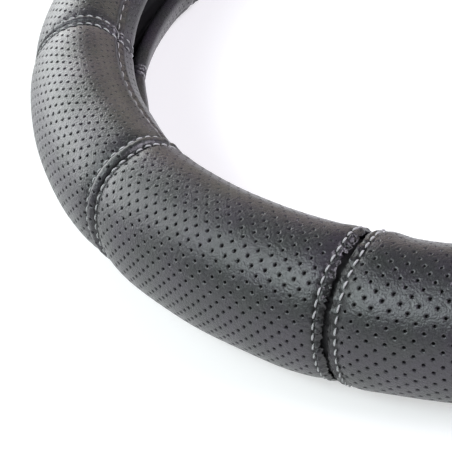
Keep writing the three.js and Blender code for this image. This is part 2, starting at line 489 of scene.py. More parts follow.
@dataclass
class FlatPattern:
    """One panel's cutting pattern, laid flat: x along the ring and y round the tube.

    The punched holes are modelled: a soft dimple, a wall and a floor each. The margins are what
    the perforation keeps clear of the pattern's edge, the seams, the hems and the folds.
    """

    section: TubeSection
    width: float = 88.4
    hole_pitch: float = 4.4
    row_pitch: float = 2.25
    first_hole: tuple[float, float] = (3.5, 5.7)
    first_row: float = 1.2
    edge_margin: float = 1.0
    seam_margin: float = 5.5
    hem_margin: float = 1.3
    fold_margin: float = 0.5
    strip_width: float = 2.0
    hole_radius: float = 0.48
    dimple_radius: float = 0.8
    dimple_room: float = 1.12
    hole_sides: int = 8
    seam_step: float = 0.42
    seam_zone: float = 6.3
    edge_step: float = 0.75
    middle_columns: int = 46
    hem_lines: tuple[float, ...] = (-2.4, -1.5, -0.75, 0.0, 0.75, 1.5, 2.4)
    fold_rows: int = 13
    tuck_rows: int = 5
    back_step: float = 4.4
    back_margin: float = 2.0
    back_fold_rows: int = 7

    def __post_init__(self) -> None:
        """Lays out the pattern and triangulates it."""
        self.hole_centres = self._holes()
        self.points, self.triangles = self._skin()
        self.back_points, self.back_triangles = self._back()

    def _holes(self) -> np.ndarray:
        """Lays out the perforation.

        Returns:
            The centres of the punched holes, in staggered rows.
        """
        centres = []
        reach = int(self.section.fold_arc / self.row_pitch) + 1
        for row in range(-reach, reach + 1):
            y = self.first_row + row * self.row_pitch
            near_hem = abs(abs(y) - self.section.hem_arc) < self.hem_margin
            if near_hem or abs(y) > self.section.fold_arc - self.fold_margin:
                continue
            x = self.first_hole[row % 2]
            while x < self.width - self.edge_margin:
                under_fold = row % 2 == 0 and self.width - x < self.strip_width
                if under_fold or x < self.width - self.seam_margin:
                    centres.append((x, y))
                x += self.hole_pitch
        return np.array(centres)

    def _ring(self, radius: float) -> np.ndarray:
        """Draws a ring round every hole.

        Args:
            radius: The rings' radius.

        Returns:
            Their corners, as holes by sides by 2.
        """
        turn = np.arange(self.hole_sides) * TURN / self.hole_sides + math.pi / self.hole_sides
        ring = radius * np.stack([np.cos(turn), np.sin(turn)], -1)
        return self.hole_centres[:, None, :] + ring[None]

    def _rows(self) -> np.ndarray:
        """Divides the seams' edges.

        Returns:
            The arc lengths of their points.
        """
        s = self.section
        wall = np.arange(0.0, s.fold_arc, self.edge_step)
        fold = np.linspace(s.fold_arc, s.fold_end, self.fold_rows)
        inner = np.linspace(s.fold_end, s.edge_arc, self.tuck_rows)[1:]
        upper = np.concatenate([wall, fold, inner])
        return np.concatenate([-upper[:0:-1], upper])

    def _skin(self) -> tuple[np.ndarray, np.ndarray]:
        """Triangulates the outer skin, with every hole left open.

        Returns:
            The flat points, rings of the holes first, and the triangles.
        """
        s = self.section
        rows = self._rows()
        inner, outer = self._ring(self.hole_radius), self._ring(self.dimple_radius)
        near = np.arange(0.0, self.seam_zone, self.seam_step)
        columns = np.concatenate([near, self.width - near])
        seams = np.stack(np.meshgrid(columns, rows), -1).reshape(-1, 2)
        across = np.linspace(self.seam_zone, self.width - self.seam_zone, self.middle_columns)
        hems = np.concatenate([side * (s.hem_arc + np.array(self.hem_lines)) for side in (-1, 1)])
        folds = rows[np.abs(rows) >= s.fold_arc]
        lines = np.stack(np.meshgrid(across, np.concatenate([hems, folds])), -1).reshape(-1, 2)
        loose = np.concatenate([seams, lines])
        gap = np.hypot(*(loose[:, None, :] - self.hole_centres[None]).transpose(2, 0, 1)).min(1)
        loose = loose[gap > self.dimple_radius * self.dimple_room]
        rings = np.concatenate([inner.reshape(-1, 2), outer.reshape(-1, 2)])
        if rings[:, 0].min() <= 0 or rings[:, 0].max() >= self.width:
            raise ValueError("a hole reaches past the pattern's edge")
        points = np.concatenate([rings, loose])
        triangles = triangulated(points)
        ring_of = np.full(len(points), -1)
        count = len(self.hole_centres)
        ring_of[: count * self.hole_sides] = np.repeat(np.arange(count), self.hole_sides)
        of = ring_of[triangles]
        open_hole = (of[:, 0] >= 0) & (of[:, 0] == of[:, 1]) & (of[:, 1] == of[:, 2])
        return points, triangles[~open_hole]

    def border(self, points: np.ndarray) -> np.ndarray:
        """Numbers of the points on the pattern's edge, in order round it.

        Args:
            points: Flat points.

        Returns:
            Indices, counterclockwise from the lower left corner.
        """
        x, y = points[:, 0], points[:, 1]
        edge = self.section.edge_arc
        tight = 1e-6
        bottom = np.where(np.abs(y + edge) < tight)[0]
        right = np.where(np.abs(x - self.width) < tight)[0]
        top = np.where(np.abs(y - edge) < tight)[0]
        left = np.where(np.abs(x) < tight)[0]
        sides = [
            bottom[np.argsort(x[bottom])][:-1],
            right[np.argsort(y[right])][:-1],
            top[np.argsort(-x[top])][:-1],
            left[np.argsort(-y[left])][:-1],
        ]
        return np.concatenate(sides)

    def _back(self) -> tuple[np.ndarray, np.ndarray]:
        """Triangulates the flesh side, which shares the skin's edge points.

        Returns:
            The flat points, edge first and in order, and the triangles.
        """
        edge = self.points[self.border(self.points)]
        s = self.section
        wall = np.arange(0.0, s.fold_arc - self.back_margin, self.back_step)
        fold = np.linspace(s.fold_arc, s.fold_end, self.back_fold_rows)
        upper = np.concatenate([wall, fold, [(s.fold_end + s.edge_arc) / 2]])
        rows = np.concatenate([-upper[:0:-1], upper])
        columns = np.linspace(0.0, self.width, int(self.width / self.back_step) + 1)[1:-1]
        middle = np.stack(np.meshgrid(columns, rows), -1).reshape(-1, 2)
        points = np.concatenate([edge, middle])
        return points, triangulated(points)


@dataclass
class SeamRelief:
    """How the stitches shape the leather beside one edge of a panel.

    Between the groove and the row lies a strip over the seam's folded edges, and past the row
    the panel rises from the stitches. The puckers and the torn edge fade towards the tube's
    silhouettes, away from pucker_middle.
    """

    row: float
    gap: float
    crown: float
    seed: int
    crease: float = 0.0
    groove_depth: float = 1.35
    groove_width: float = 0.35
    gap_width: float = 0.8
    crease_depth: float = 0.8
    crease_width: float = 0.34
    crease_follows: float = 0.2
    row_depth: float = 1.0
    row_width: float = 0.62
    row_sway: float = 0.25
    row_ramp: float = 0.5
    strip_level: float = -0.25
    shoulder_depth: float = 0.5
    shoulder_width: float = 2.8
    pucker_depth: float = 0.16
    pucker_width: float = 2.0
    pucker_middle: float = 13.0
    pucker_reach: float = 31.0
    pucker_fade: float = 8.0
    least_pucker: float = 0.15
    ragged_share: float = 0.9
    ragged_length: float = 2.1

    def height(self, off: np.ndarray, arc: np.ndarray) -> np.ndarray:
        """Height of the skin.

        Args:
            off: Distances from the groove in millimetres.
            arc: Arc lengths round the tube.

        Returns:
            Heights above the drawn-in wall.
        """
        shown = (self.pucker_reach - np.abs(arc - self.pucker_middle)) / self.pucker_fade
        shown = np.clip(shown, self.least_pucker, 1.0)
        needle = 0.5 + 0.5 * shown * np.cos(TURN * arc / SEAM_STITCH)
        uneven = wave(self.seed, off * 0, arc, self.ragged_length)
        ragged = self.gap * (1 + self.ragged_share * shown * uneven)
        width = self.groove_width + self.gap_width * np.maximum(ragged, 0)
        cut = self.groove_depth * (0.4 + 0.6 * shown) * np.exp(-((off / width) ** 2))
        centre = self.row + self.row_sway * (needle - 0.5)
        pulled = self.row_depth * stitch_pull(needle) * np.exp(-(((off - centre) / self.row_width) ** 2))
        fold = 0.0
        if self.crease:
            from_crease = off - self.crease - ragged * self.crease_follows
            fold = self.crease_depth * np.exp(-((from_crease / self.crease_width) ** 2))
        past = np.maximum(off - self.row, 0.0)
        strip = self.strip_level + self.crown * np.sin(math.pi * np.clip(off / self.row, 0, 1))
        panel = -self.shoulder_depth * np.exp(-((past / self.shoulder_width) ** 2))
        pucker = self.pucker_depth * needle * np.exp(-past / self.pucker_width)
        blend = np.clip((off - self.row + self.row_ramp) / (2 * self.row_ramp), 0.0, 1.0)
        base = (1 - blend) * strip + blend * (panel - pucker)
        return base - np.maximum(np.maximum(cut, fold), pulled)


@dataclass
class LeatherPanel:
    """One panel of black perforated leather, sewn to its neighbours and turned in at both lips.

    Its holes are drawn closer towards the hems, from open_to onwards, and those caught under a
    seam's fold are nearly shut.
    """

    index: int
    section: TubeSection
    pattern: FlatPattern
    near_seam: float = 9.0
    shift_ramp: float = 1.1
    torn_before: float = 0.36
    torn_after: float = 0.14
    torn_length: float = 1.9
    torn_reach: float = 0.9
    swell_fade: float = 8.0
    swell_power: float = 0.6
    uneven_height: float = 0.14
    uneven_length: float = 34.0
    hole_depth: float = 1.1
    hole_taper: float = 0.8
    dimple_depth: float = 0.17
    closed_hole: float = 0.2
    pulled_hole: float = 0.3
    open_to: float = 27.0
    open_fade: float = 12.0
    hem_depth: float = 0.9
    hem_width: float = 0.8
    thinnest: float = 0.08
    floor_play: float = 0.02
    # How depth becomes painted shade: extra on the holes' floors, the depth of full shade, and the most
    # shade
    floor_shade: float = 0.6
    full_shade: float = 1.2
    most_shade: float = 1.6

    def __post_init__(self) -> None:
        """Looks up how the panel and its two seams lie."""
        self.lie = panel_lie(self.index)
        self.first = seam_lie(self.index)
        self.last = seam_lie((self.index + 1) % self.section.panel_count)

    def slip(self, arc: np.ndarray) -> np.ndarray:
        """How far this panel's leather has slid round the tube, which its hems hold still."""
        return self.lie.slip * np.clip(1 - (np.abs(arc) / self.section.hem_arc) ** 4, 0.0, 1.0)

    def body(self, x: np.ndarray, arc: np.ndarray) -> np.ndarray:
        """Height of the panel's broad shape, which its flesh side follows too.

        Args:
            x: Places across the flat pattern in millimetres.
            arc: Arc lengths round the tube.

        Returns:
            Heights above the plain wall in millimetres.
        """
        hem_arc = self.section.hem_arc
        middle = np.sin(np.clip(x / self.pattern.width, 0.0, 1.0) * math.pi)
        inside = np.clip((hem_arc - np.abs(arc)) / self.swell_fade, 0.0, 1.0)
        swell = np.interp(arc, DRAW_STATIONS, self.lie.swell) * middle ** self.swell_power
        rolling = wave(Seed.UNEVEN.value + self.index, x, arc, self.uneven_length)
        uneven = self.uneven_height * rolling * middle ** 0.5
        puffed = sum((puff.rise(x, arc) for puff in self.lie.puffs), np.zeros_like(x))
        start = drawn_in(self.first.draw_after, x, arc, hem_arc)
        end = drawn_in(self.last.draw_before, self.pattern.width - x, arc, hem_arc)
        return (swell + uneven) * inside + puffed - start - end

    def relief(self, x: np.ndarray, arc: np.ndarray) -> np.ndarray:
        """Height of the skin's detail above the panel's broad shape.

        Args:
            x: Places across the flat pattern in millimetres.
            arc: Arc lengths round the tube.

        Returns:
            Heights in millimetres, no lower than the leather's thickness allows.
        """
        first, last = self.first, self.last
        seeds = Seed.RELIEF_AFTER.value + self.index, Seed.RELIEF_BEFORE.value + self.index
        after = SeamRelief(first.row_after, first.gap, first.crown_after, seeds[0], first.crease)
        before = SeamRelief(last.row_before, last.gap, last.crown_before, seeds[1])
        seams = after.height(x, arc) + before.height(self.pattern.width - x, arc)
        from_hem = np.abs(arc) - self.section.hem_arc
        per_panel = HEM_STITCHES / self.section.panel_count
        needle = 0.5 + 0.5 * np.cos(TURN * per_panel * (self.index + x / self.pattern.width))
        hem = self.hem_depth * stitch_pull(needle) * np.exp(-((from_hem / self.hem_width) ** 2))
        ridge = sum(high * np.exp(-(((from_hem - at) / wide) ** 2)) for at, high, wide in HEM_RIDGES)
        return np.maximum(seams + ridge - hem, self.thinnest - self.section.leather)

    def torn(self, seed: Seed, gap: float, inward: np.ndarray, arc: np.ndarray) -> np.ndarray:
        """How ragged the leather's edge is in a seam, and just beside it.

        Args:
            seed: Chooses the tears.
            gap: The seam's open width, which the tears grow with.
            inward: Distances from the edge.
            arc: Arc lengths round the tube.

        Returns:
            Ways into the panel, as shares of torn_before or torn_after.
        """
        edge = wave(seed.value + self.index, 0 * inward, arc, self.torn_length)
        return gap * edge * np.exp(-inward / self.torn_reach)

    def laid(self, flat: np.ndarray) -> np.ndarray:
        """Moves flat points to where they lie on this panel, with its slip, shift and torn edges.

        Args:
            flat: Points of the flat pattern.

        Returns:
            The moved points, still flat.
        """
        x, arc = flat[:, 0], flat[:, 1]
        from_end = self.pattern.width - x
        near = (x - self.first.row_after) / self.shift_ramp + 1
        far = (from_end - self.last.row_before) / self.shift_ramp + 1
        clear = np.clip(np.minimum(near, far), 0.0, 1.0)
        shift = self.lie.shift * clear * clear * (3 - 2 * clear)
        after = self.torn_after * self.torn(Seed.TORN_AFTER, self.first.gap, x, arc)
        before = self.torn_before * self.torn(Seed.TORN_BEFORE, self.last.gap, from_end, arc)
        return flat + np.stack([shift + after - before, self.slip(arc)], -1)

    def wrap(self, flat: np.ndarray, height: np.ndarray) -> np.ndarray:
        """Carries flat points onto the tube.

        Args:
            flat: Flat points as laid.
            height: Heights above the skin.

        Returns:
            Points in the row's frame, in millimetres.
        """
        s, width = self.section, self.pattern.width
        x, arc = flat[:, 0], flat[:, 1]
        own_radius, _ = s.place(arc, np.zeros_like(arc))
        radius, z = s.place(arc, height, (self.index + x / width) * s.panel_angle)
        start = groove(self.index, arc) + self.first.gap / 2
        stop = groove((self.index + 1) % s.panel_count, arc) - self.last.gap / 2
        length = own_radius * s.panel_angle + stop - start
        stretch = (length - 2 * self.near_seam) / (width - 2 * self.near_seam)
        middle = self.near_seam + (x - self.near_seam) * stretch
        zones = [x < self.near_seam, x > width - self.near_seam]
        place = np.select(zones, [x, length - (width - x)], middle)
        return on_ring(radius, self.index * s.panel_angle + (start + place) / own_radius, z)

    def hole_opening(self, centre: np.ndarray) -> np.ndarray:
        """How far each hole is open.

        Args:
            centre: The holes' centres as laid.

        Returns:
            Shares of a full hole's depth.
        """
        from_last = self.pattern.width - centre[:, 0]
        shut = (from_last < self.last.row_before) & (not self.lie.open_strip)
        pulled = np.clip((np.abs(centre[:, 1]) - self.open_to) / self.open_fade, 0.0, 1.0)
        return np.where(shut, self.closed_hole, 1 - (1 - self.pulled_hole) * pulled)

    def build(self) -> bpy.types.Object:
        """Makes the panel as one closed mesh.

        Returns:
            The panel's object.
        """
        p, s = self.pattern, self.section
        flat, back_flat = self.laid(p.points), self.laid(p.back_points)
        body, relief = self.body(*flat.T), self.relief(*flat.T)
        rims = len(p.hole_centres) * p.hole_sides
        lowest = self.thinnest - s.leather
        centre = np.repeat(self.laid(p.hole_centres), p.hole_sides, axis=0)
        opening = self.hole_opening(centre)
        detail = relief.copy()
        detail[:rims] = np.maximum(relief[:rims] - self.dimple_depth * opening, lowest)
        floor = np.maximum(relief[:rims] - self.hole_depth * opening, lowest - self.floor_play)
        floor_flat = centre + self.hole_taper * (flat[:rims] - centre)
        points = np.concatenate([
            self.wrap(flat, body + detail),
            self.wrap(floor_flat, body[:rims] + floor),
            self.wrap(back_flat, self.body(*back_flat.T) - s.leather),
        ])
        faces = p.triangles.tolist()
        faces += self._hole_faces(len(flat))
        faces += self._edge_faces(p.border(p.points), len(flat) + rims)
        faces += (p.back_triangles[:, ::-1] + len(flat) + rims).tolist()
        uv = np.concatenate([flat, floor_flat, back_flat]) / LEATHER_UV_MM
        made = object_from(f"perforated_panel_{self.index + 1:02d}", points, faces, uv)
        # Painted shade: each point's depth below the skin, more on the holes' floors, is stored so the
        # leather darkens holes, grooves and needle holes
        shade = np.concatenate([-detail, self.floor_shade - floor, np.zeros(len(back_flat))])
        pit_shade_mask = np.clip(shade / self.full_shade, 0.0, self.most_shade)
        attribute = made.data.attributes.new("pit_shade_mask", "FLOAT", "POINT")
        attribute.data.foreach_set("value", pit_shade_mask.astype(np.float32))
        self._sharpen_rims(made, 2 * rims)
        return made

    def _sharpen_rims(self, made: bpy.types.Object, rims: int) -> None:
        """Marks the holes' rims as sharp, so that the leather between them is shaded flat.

        Args:
            made: The panel, whose first points are the rings of its holes.
            rims: How many points those rings have.
        """
        ends = np.zeros(2 * len(made.data.edges), dtype=np.int64)
        made.data.edges.foreach_get("vertices", ends)
        ends = ends.reshape(-1, 2)
        ring = ends // self.pattern.hole_sides
        sharp = (ends < rims).all(1) & (ring[:, 0] == ring[:, 1])
        made.data.edges.foreach_set("use_edge_sharp", sharp)

    def _hole_faces(self, base: int) -> list:
        """Closes the holes.

        Args:
            base: The number of the floors' first point.

        Returns:
            The holes' walls and floors.
        """
        sides, faces = self.pattern.hole_sides, []
        for hole in range(len(self.pattern.hole_centres)):
            rim = [hole * sides + i for i in range(sides)]
            floor = [base + i for i in rim]
            for i in range(sides):
                j = (i + 1) % sides
                faces.append([rim[i], rim[j], floor[j], floor[i]])
            faces.append(floor)
        return faces

    def _edge_faces(self, edge: np.ndarray, base: int) -> list:
        """Closes the leather's cut edge.

        Args:
            edge: Numbers of the skin's edge points, in order.
            base: The number of the back's first edge point.

        Returns:
            The faces between them.
        """
        count = len(edge)
        return [
            [int(edge[i]), base + i, base + (i + 1) % count, int(edge[(i + 1) % count])]
            for i in range(count)
        ]


@dataclass
class StitchShape:
    """One stitch: an oval of thread whose ends dive into the needle holes."""

    length: float
    width: float
    rise: float
    thickness: float = 1.25
    plumpness: float = 0.85
    lift: float = 0.28
    dive: float = 0.75
    sides: int = 8
    rings: int = 7

    def points_and_faces(self) -> tuple[np.ndarray, list]:
        """Models the stitch by hand tools.

        Returns:
            Its points, x along the stitch, y across and z up, and its faces.
        """
        bpy.ops.object.select_all(action="DESELECT")
        bpy.ops.mesh.primitive_uv_sphere_add(segments=self.sides, ring_count=self.rings, radius=0.5)
        ball = bpy.context.object
        bpy.ops.object.mode_set(mode="EDIT")
        bpy.ops.mesh.select_all(action="SELECT")
        bpy.ops.transform.rotate(value=math.pi / 2, orient_axis="Y", center_override=(0, 0, 0))
        bpy.ops.transform.resize(value=(self.length, self.width, self.rise * self.thickness))
        bpy.ops.object.mode_set(mode="OBJECT")
        points = np.array([v.co for v in ball.data.vertices])
        faces = [list(f.vertices) for f in ball.data.polygons]
        bpy.data.objects.remove(ball)
        share = points[:, 0] / (self.length / 2)
        across = np.abs(points[:, 1] / (self.width / 2)) ** self.plumpness
        points[:, 1] = np.sign(points[:, 1]) * across * self.width / 2
        points[:, 2] += self.rise * (self.lift - self.dive * share ** 4)
        return points, faces


@dataclass
class StitchRun:
    """Gathers the copies of one stitch into one mesh."""

    shape: np.ndarray
    stitch_faces: list
    points: list = field(default_factory=list)
    faces: list = field(default_factory=list)
    uvs: list = field(default_factory=list)

    def add(self, along: np.ndarray, points: np.ndarray) -> None:
        """Adds a copy.

        Args:
            along: Places of its points along the thread, which its twist follows.
            points: Its points where it lies.
        """
        base = len(self.shape) * len(self.points)
        self.points.append(points)
        self.faces += [[base + i for i in face] for face in self.stitch_faces]
        round_thread = np.arctan2(self.shape[:, 2], self.shape[:, 1]) / TURN
        self.uvs.append(np.stack([along / THREAD_UV_MM, round_thread], -1))

    def joined(self, name: str) -> bpy.types.Object:
        """Returns the whole run as one object of that name."""
        return object_from(name, np.concatenate(self.points), self.faces, np.concatenate(self.uvs))


@dataclass
class SeamStitches:
    """One row of top stitching beside a seam, from lip to lip."""

    index: int
    side: Side
    panels: list[LeatherPanel]
    stitch_share: float = 0.74
    width: float = 0.56
    rise: float = 0.52
    slant: float = 0.14
    slant_play: float = 0.05
    width_play: float = 0.06
    seat: float = -0.52
    crossing_depth: float = 0.3
    crossing_width: float = 1.4
    past_fold: float = 5.5

    def build(self) -> bpy.types.Object:
        """Lays the stitches along their row.

        Returns:
            The row's object.
        """
        after = self.side is Side.AFTER
        panel = self.panels[self.index if after else self.index - 1]
        s = panel.section
        shape, faces = StitchShape(SEAM_STITCH * self.stitch_share, self.width, self.rise).points_and_faces()
        run = StitchRun(shape, faces)
        lie = seam_lie(self.index)
        row = lie.row_after if after else lie.row_before
        place = row if after else panel.pattern.width - row
        off = (row + lie.gap / 2) * self.side.sign
        turn = self.index * s.panel_angle
        chance = np.random.default_rng(Seed.SEAM_ROW.value + 2 * self.index + self.side.sign)
        count = int((s.fold_arc + self.past_fold) / SEAM_STITCH)
        for number in range(-count, count):
            lean = chance.normal(0, self.slant_play)
            swell = 1 + chance.normal(0, self.width_play)
            along = (number + 0.5) * SEAM_STITCH + shape[:, 0]
            across = off + shape[:, 1] * swell + (self.slant + lean) * shape[:, 0]
            lift = panel.body(np.full_like(along, place), along)
            from_hem = (np.abs(along) - s.hem_arc) / self.crossing_width
            crossing = self.crossing_depth * np.exp(-(from_hem ** 2))
            radius, z = s.place(along, self.seat + shape[:, 2] + lift - crossing, turn)
            own, _ = s.place(along, np.zeros_like(along))
            around = turn + (groove(self.index, along) + across) / own
            run.add(along, on_ring(radius, around, z))
        return run.joined(f"seam_stitches_{self.index + 1:02d}_{self.side.name.lower()}")


@dataclass
class HemStitches:
    """The stitches that hold one turned-in hem, all the way round the ring."""

    side: Side
    panels: list[LeatherPanel]
    stitch_share: float = 0.6
    width: float = 0.52
    rise: float = 0.45
    slant: float = 0.06
    slant_play: float = 0.03
    seat: float = -0.42

    def build(self) -> bpy.types.Object:
        """Lays the stitches round the hem.

        Returns:
            The hem's object.
        """
        s = self.panels[0].section
        sign = self.side.sign
        own_radius, _ = s.place(np.array([sign * s.hem_arc]), np.zeros(1))
        own = float(own_radius[0])
        pitch = TURN * own / HEM_STITCHES
        shape, faces = StitchShape(pitch * self.stitch_share, self.width, self.rise).points_and_faces()
        run = StitchRun(shape, [face if sign < 0 else face[::-1] for face in faces])
        chance = np.random.default_rng(Seed.HEM.value + sign)
        for number in range(HEM_STITCHES):
            middle = (number + 0.5) * pitch
            lean = self.slant + chance.normal(0, self.slant_play)
            along = middle + shape[:, 0]
            arc = sign * (s.hem_arc + shape[:, 1] + lean * shape[:, 0])
            around = along / own
            panel = self.panels[int(middle / own / s.panel_angle)]
            across = (around / s.panel_angle - panel.index) * panel.pattern.width
            lift = panel.body(across, arc)
            radius, z = s.place(arc, shape[:, 2] + self.seat + lift, around)
            run.add(along, on_ring(radius, around, z))
        return run.joined(f"hem_stitches_{self.side.name.lower()}")


@dataclass
class RubberLiner:
    """The moulded rubber channel that grips the wheel, with fine ribs round its inside."""

    section: TubeSection
    steps: int = 192
    outside_points: int = 29
    inside_points: int = 73
    rib_points: int = 3
    rib_height: float = 0.55
    room: float = 0.9
    edge_angle: float = 0.03
    tuck_angle: float = 0.1

    def _profile(self) -> np.ndarray:
        """Draws the channel's closed section.

        Returns:
            Its radii and heights, with the ribs on the inside, clear of the turned-in leather.
        """
        s = self.section
        end = s.fold_angle - self.edge_angle
        angles = np.linspace(-end, end, self.outside_points)
        outside = s.wall(angles, np.full_like(angles, -(s.leather + s.clearance + self.room)))
        inner = np.linspace(end, -end, self.inside_points)
        depth = s.leather + s.clearance + s.liner
        clear = np.abs(inner) < end - s.turn_in / s.reach_in - self.tuck_angle
        rib = self.rib_height * (np.arange(len(inner)) % self.rib_points == 1) * clear
        inside = s.wall(inner, -(depth + rib))
        return np.concatenate([np.stack(outside, -1), np.stack(inside, -1)])

    def build(self) -> bpy.types.Object:
        """Spins the section round the ring's axis.

        Returns:
            The liner's object.
        """
        profile = self._profile()
        bpy.ops.object.select_all(action="DESELECT")
        bpy.ops.mesh.primitive_circle_add(vertices=len(profile), radius=1.0)
        liner = bpy.context.object
        liner.name = "ribbed_liner"
        for vertex, (radius, z) in zip(liner.data.vertices, profile * MM):
            vertex.co = (radius, 0.0, z)
        bpy.ops.object.mode_set(mode="EDIT")
        bpy.ops.mesh.select_all(action="SELECT")
        bpy.ops.mesh.spin(steps=self.steps, angle=TURN, center=(0, 0, 0), axis=(0, 0, 1))
        bpy.ops.mesh.select_all(action="SELECT")
        bpy.ops.mesh.remove_doubles(threshold=1e-6)
        bpy.ops.mesh.normals_make_consistent(inside=False)
        bpy.ops.object.mode_set(mode="OBJECT")
        bpy.ops.object.shade_smooth_by_angle(angle=math.radians(50))
        return liner


def linear(colour: str) -> tuple[float, float, float, float]:
    """Turns an sRGB colour into linear light.

    Args:
        colour: Six hex digits after a hash sign.

    Returns:
        Red, green, blue and an alpha of 1.
    """
    parts = [int(colour[i : i + 2], 16) / 255 for i in (1, 3, 5)]
    light = [c / 12.92 if c <= 0.04045 else ((c + 0.055) / 1.055) ** 2.4 for c in parts]
    return (light[0], light[1], light[2], 1.0)


def add_node(
    tree: bpy.types.NodeTree, kind: str, values: Optional[dict] = None, **settings: object
) -> bpy.types.Node:
    """Adds a shader node.

    Args:
        tree: The material's node tree.
        kind: The node's type.
        values: For each input by name or number, a value, or an output to link from.
        **settings: Properties of the node.

    Returns:
        The new node.
    """
    node = tree.nodes.new(kind)
    for name, value in settings.items():
        setattr(node, name, value)
    for name, value in (values or {}).items():
        if isinstance(value, bpy.types.NodeSocket):
            tree.links.new(value, node.inputs[name])
        else:
            node.inputs[name].default_value = value
    return node


def new_material(name: str) -> tuple[bpy.types.Material, bpy.types.NodeTree]:
    """Starts a material with an empty node tree.

    Args:
        name: The material's name.

    Returns:
        The material and its tree.
    """
    material = bpy.data.materials.new(name)
    material.use_nodes = True
    material.node_tree.nodes.clear()
    return material, material.node_tree


@dataclass(frozen=True)
class PerforatedLeather:
    """Black cowhide, embossed with a fine grain and finished semi-gloss.

    The grain breaks its highlights into sparkle, the hide's tone drifts a little between a
    greenish and a violet black, the grain's valleys get painted shade, and holes, grooves
    and needle holes get painted shade that deepens with how far they lie below the skin.
    """

    name: str = "black_perforated_leather"
    hide: str = "#2a2c2b"
    drift: str = "#2f2b32"
    # Painted shade in the grain's valleys
    valley_shade: str = "#1f1f1f"
    # Painted shade in holes, grooves and needle holes, darker the deeper they lie
    pit_shade: str = "#070707"
    # The embossed grain has its real size, and the pores, 0.1 to 0.2 mm, are coarser so they show
    grain_mm: float = 0.8
    pore_mm: float = 0.5
    drift_mm: float = 14.0
    grain_warp_mm: float = 0.2
    grain_height_mm: float = 0.07
    pore_height_mm: float = 0.14
    roughness: float = 0.31

    def build(self) -> bpy.types.Material:
        """Makes the material.

        Returns:
            The material, which reads the panels' depth attribute for its painted shade.
        """
        material, tree = new_material(self.name)
        place = add_node(tree, "ShaderNodeTexCoord").outputs["Object"]
        pit_shade_mask = add_node(tree, "ShaderNodeAttribute", attribute_name="pit_shade_mask").outputs["Fac"]
        bend = add_node(tree, "ShaderNodeTexNoise", {
            "Vector": place, "Scale": 1 / (2 * self.grain_mm * MM)})
        shifted = add_node(tree, "ShaderNodeVectorMath", {
            0: bend.outputs["Color"], 1: (self.grain_warp_mm * MM,) * 3}, operation="MULTIPLY")
        warped = add_node(tree, "ShaderNodeVectorMath", {
            0: place, 1: shifted.outputs[0]}, operation="ADD")
        cells = add_node(tree, "ShaderNodeTexVoronoi", {
            "Vector": warped.outputs[0], "Scale": 1 / (self.grain_mm * MM)})
        pores = add_node(tree, "ShaderNodeTexNoise", {
            "Vector": place, "Scale": 1 / (self.pore_mm * MM), "Detail": 3.0})
        cloud = add_node(tree, "ShaderNodeTexNoise", {
            "Vector": place, "Scale": 1 / (self.drift_mm * MM), "Detail": 3.0})
        drift = add_node(tree, "ShaderNodeMapRange", {
            "Value": cloud.outputs["Fac"], "From Min": 0.38, "From Max": 0.62})
        tone = add_node(tree, "ShaderNodeMix", {
            0: drift.outputs[0], 6: linear(self.hide), 7: linear(self.drift)}, data_type="RGBA")
        # Painted shade: the grain's valleys, where its cells meet, are darkened
        valley = add_node(tree, "ShaderNodeMapRange", {
            "Value": cells.outputs["Distance"], "From Min": 0.45, "From Max": 0.85, "To Max": 0.6})
        valley_shaded_tone = add_node(tree, "ShaderNodeMix", {
            0: valley.outputs[0], 6: tone.outputs[2], 7: linear(self.valley_shade)}, data_type="RGBA")
        # Painted shade: what lies below the skin darkens towards the pit shade colour with its depth
        deep = add_node(tree, "ShaderNodeMapRange", {
            "Value": pit_shade_mask, "From Min": 0.35, "From Max": 1.1})
        colour = add_node(tree, "ShaderNodeMix", {
            0: deep.outputs[0], 6: valley_shaded_tone.outputs[2], 7: linear(self.pit_shade)}, data_type="RGBA")
        rough = add_node(tree, "ShaderNodeMapRange", {
            "Value": pores.outputs["Fac"], "From Min": 0.3, "From Max": 0.7,
            "To Min": self.roughness - 0.06, "To Max": self.roughness + 0.08})
        grain = add_node(tree, "ShaderNodeBump", {
            "Height": cells.outputs["Distance"], "Distance": self.grain_height_mm * MM}, invert=True)
        fine = add_node(tree, "ShaderNodeBump", {
            "Height": pores.outputs["Fac"], "Distance": self.pore_height_mm * MM,
            "Normal": grain.outputs["Normal"]})
        shader = add_node(tree, "ShaderNodeBsdfPrincipled", {
            "Base Color": colour.outputs[2], "Roughness": rough.outputs[0],
            "Normal": fine.outputs["Normal"], "IOR": 1.5, "Specular IOR Level": 0.58})
        add_node(tree, "ShaderNodeOutputMaterial", {"Surface": shader.outputs["BSDF"]})
        return material


